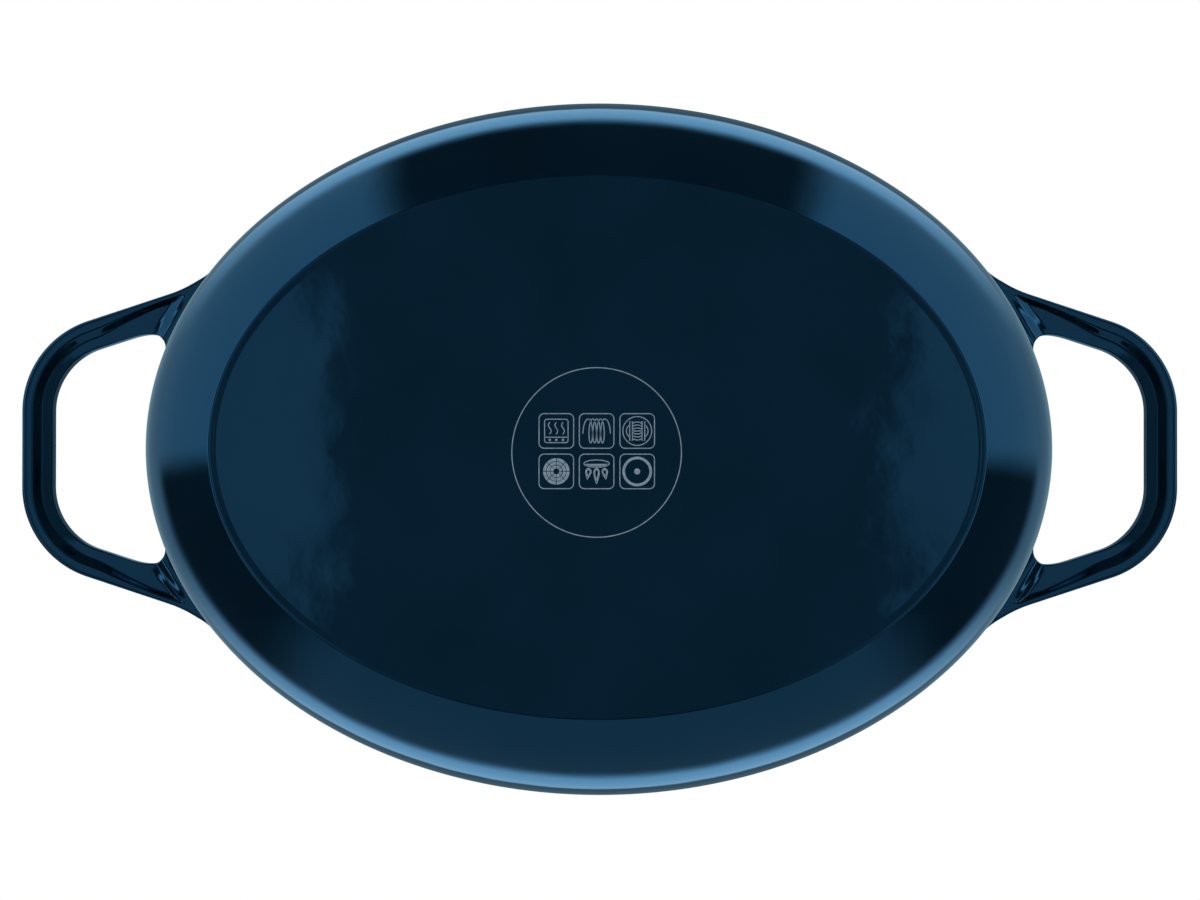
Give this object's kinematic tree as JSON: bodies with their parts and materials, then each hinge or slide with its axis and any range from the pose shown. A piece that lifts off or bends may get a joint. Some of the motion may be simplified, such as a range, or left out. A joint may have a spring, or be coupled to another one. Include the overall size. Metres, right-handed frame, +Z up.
{
  "type": "dutch oven",
  "caption": "Oval enamelled cast-iron dutch oven with cast loop handles and a lift-off domed lid with a screwed-on steel knob.",
  "frame": {"origin": "middle of the plane that the pot's foot ring stands on", "axes": "+X along the pot's length, through both handles; +Y across it; +Z up, towards the lid"},
  "size_m": [0.4132, 0.2486, 0.1742],
  "materials": {
    "outer_enamel": "glossy dark blue vitreous enamel on cast iron",
    "inner_enamel": "glossy cream vitreous enamel",
    "rim_enamel": "matt charcoal enamel",
    "knob_steel": "brushed stainless steel",
    "fastener_steel": "plain stainless steel",
    "gasket": "matt black silicone"
  },
  "bodies": {
    "pot": {"pot_casting": "outer_enamel", "pot_lining": "inner_enamel", "pot_rim_glaze": "rim_enamel"},
    "lid": {"lid_casting": "outer_enamel", "lid_lining": "inner_enamel", "lid_rim_glaze": "rim_enamel", "knob_gasket": "gasket", "knob_stem": "knob_steel", "knob_cap": "knob_steel", "screw_washer": "fastener_steel", "lock_washer": "fastener_steel", "knob_screw": "fastener_steel"}
  },
  "joints": [
    {"name": "lid_lift", "type": "slide", "parent": "pot", "child": "lid", "axis": [0, 0, 1], "range_m": [0, 0.15]}
  ]
}
